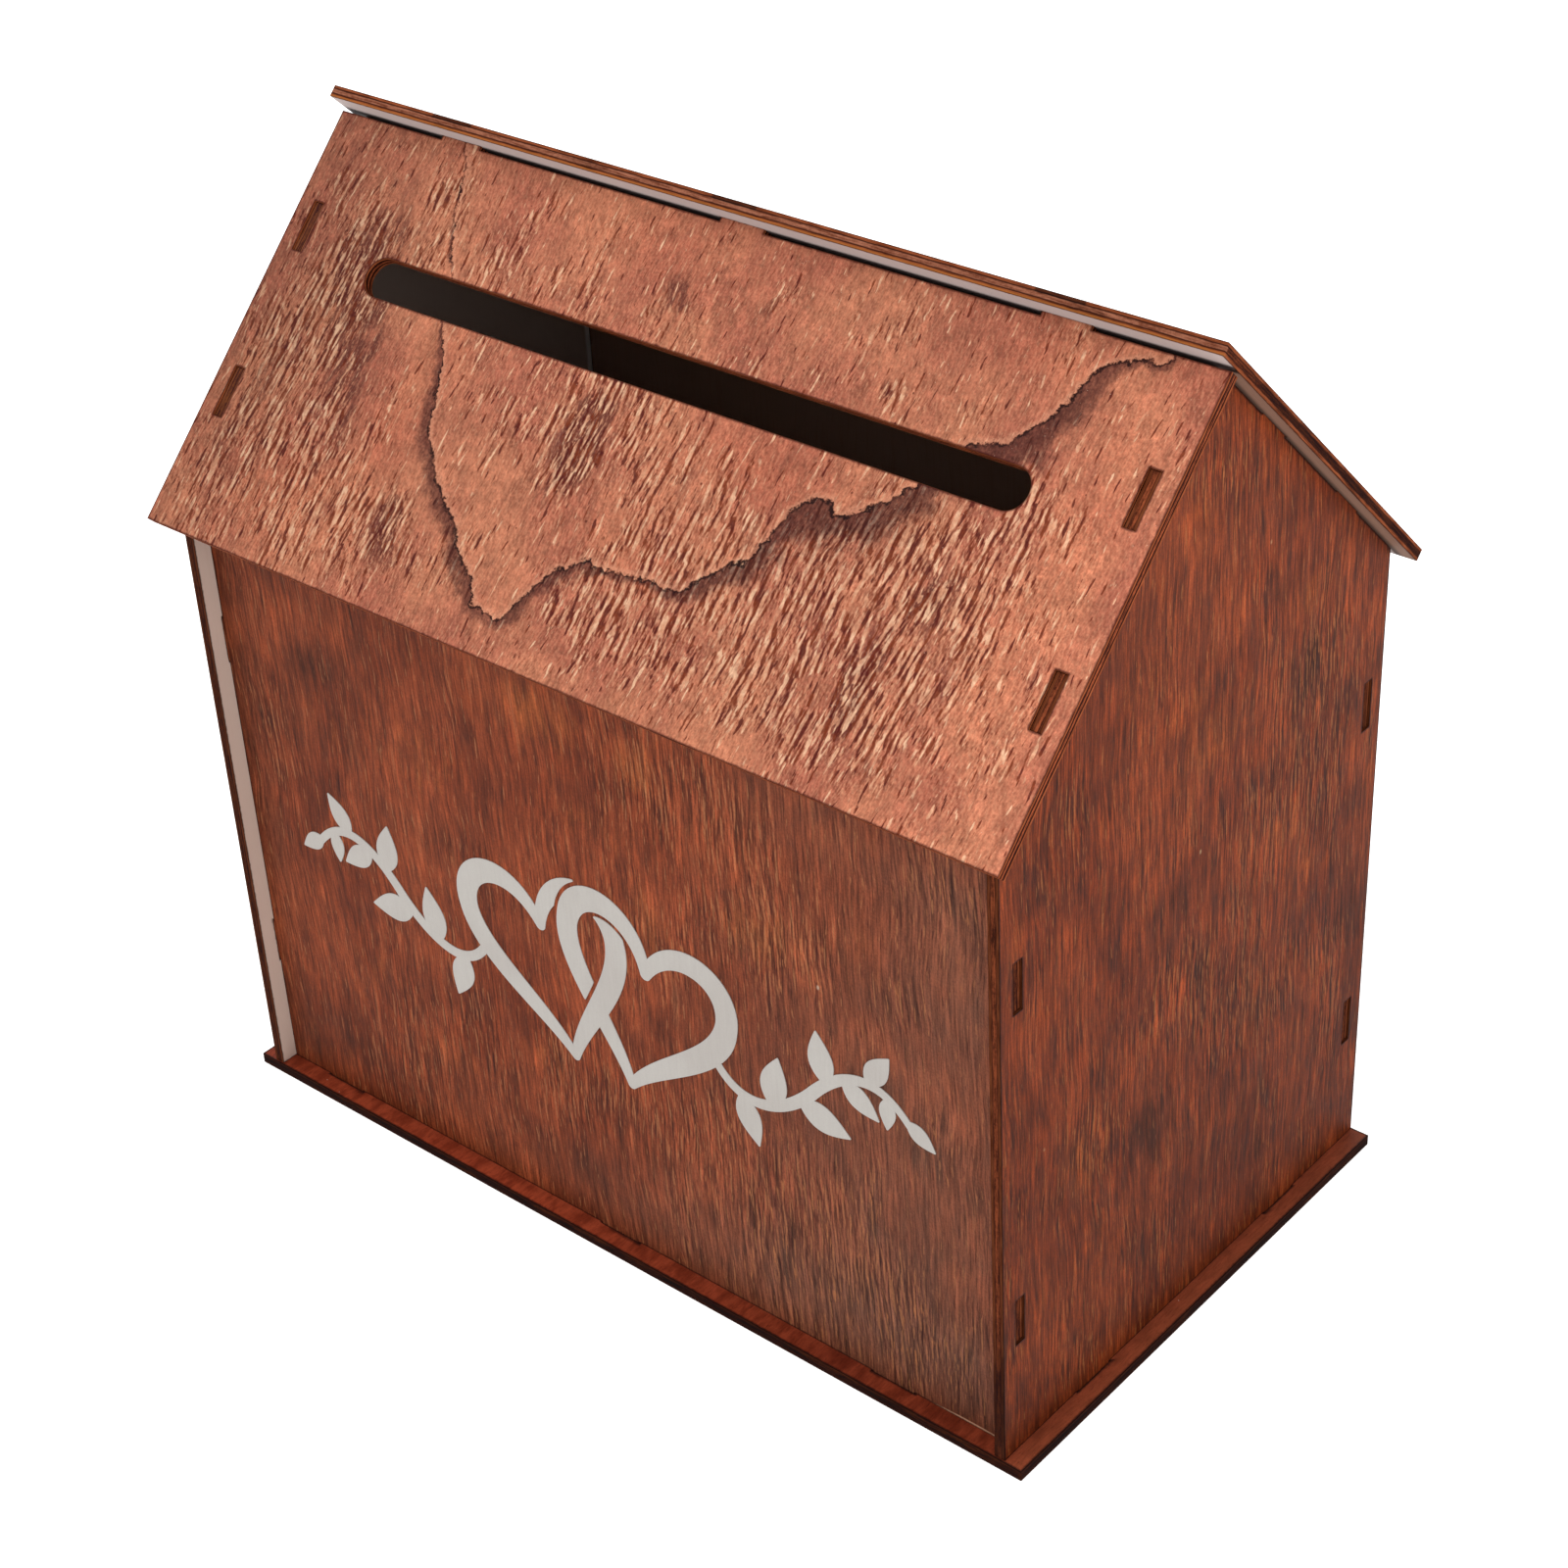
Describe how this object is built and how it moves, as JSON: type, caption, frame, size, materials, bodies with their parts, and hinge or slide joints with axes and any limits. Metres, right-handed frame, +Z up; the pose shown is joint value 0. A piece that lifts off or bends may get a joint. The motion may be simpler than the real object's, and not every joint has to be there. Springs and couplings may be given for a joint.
{
  "type": "wedding card box",
  "caption": "House-shaped slotted-panel box with a letter slot in the front roof slope and a rear roof panel that lifts off, for collecting envelopes on a table.",
  "frame": {"origin": "middle of the underside of the base plate", "axes": "+Z up, -Y towards the front panel with the motif, +X to the right seen from the front, along the ridge"},
  "size_m": [0.26, 0.1623, 0.2586],
  "materials": {
    "stained_base_plywood": "red-brown stain on thin plywood, satin, charred laser-cut edges",
    "printed_wall_plywood": "reddish brown wood-grain print, matt, pale unprinted inner face, charred laser-cut edges",
    "printed_roof_plywood": "salmon weathered-wood print, matt, pale unprinted inner face, charred laser-cut edges",
    "motif_film": "matt off-white film"
  },
  "bodies": {
    "house": {"base_plate": "stained_base_plywood", "left_gable_wall": "printed_wall_plywood", "right_gable_wall": "printed_wall_plywood", "front_panel": "printed_wall_plywood", "back_panel": "printed_wall_plywood", "front_roof_panel": "printed_roof_plywood", "front_motif": "motif_film"},
    "rear_roof": {"rear_roof_panel": "printed_roof_plywood"}
  },
  "joints": [
    {"name": "rear_roof_lift", "type": "slide", "parent": "house", "child": "rear_roof", "axis": [0, 0.7071, 0.7071], "range_m": [0, 0.12]}
  ]
}
